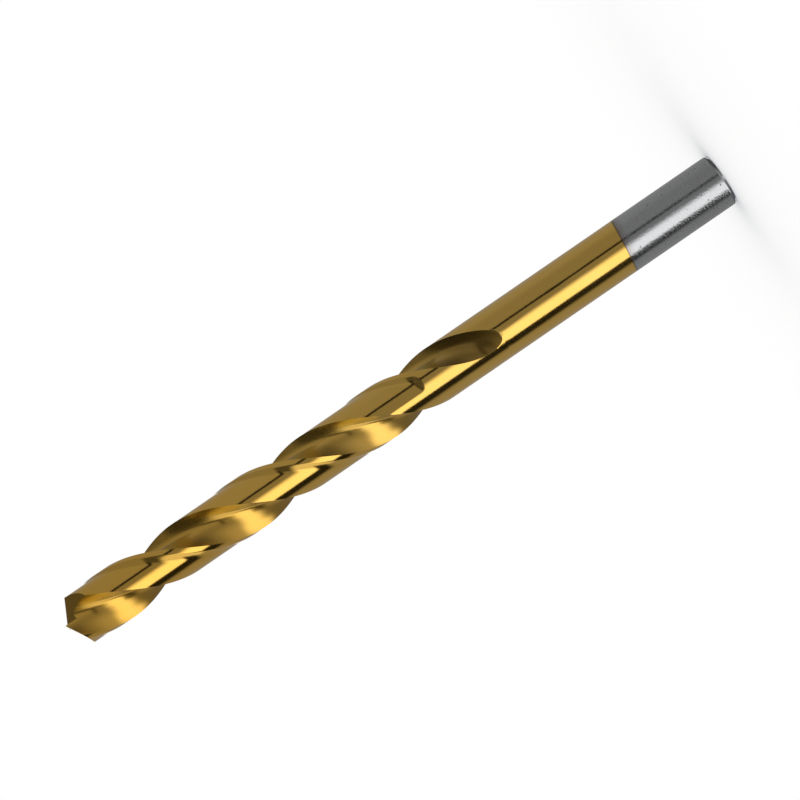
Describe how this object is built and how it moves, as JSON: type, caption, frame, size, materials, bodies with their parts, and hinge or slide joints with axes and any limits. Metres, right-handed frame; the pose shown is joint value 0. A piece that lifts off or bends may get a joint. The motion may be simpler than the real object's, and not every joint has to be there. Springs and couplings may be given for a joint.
{
  "type": "twist drill bit",
  "caption": "Right-hand spiral-fluted metal drill bit with a split point, narrow margins and a plain round shank, part coated and part bare.",
  "frame": {"origin": "centre of the flat end face of the shank", "axes": "+Z along the axis of the bit, from the shank to the point; +X is the direction in which one cutting lip runs out from the axis"},
  "size_m": [0.009, 0.009, 0.125],
  "materials": {
    "coated_steel": "ground high-speed steel with a thin gold-coloured nitride coating, and bare satin steel on the last 19 mm of the shank"
  },
  "bodies": {
    "root": {"drill_bit": "coated_steel"}
  },
  "joints": []
}
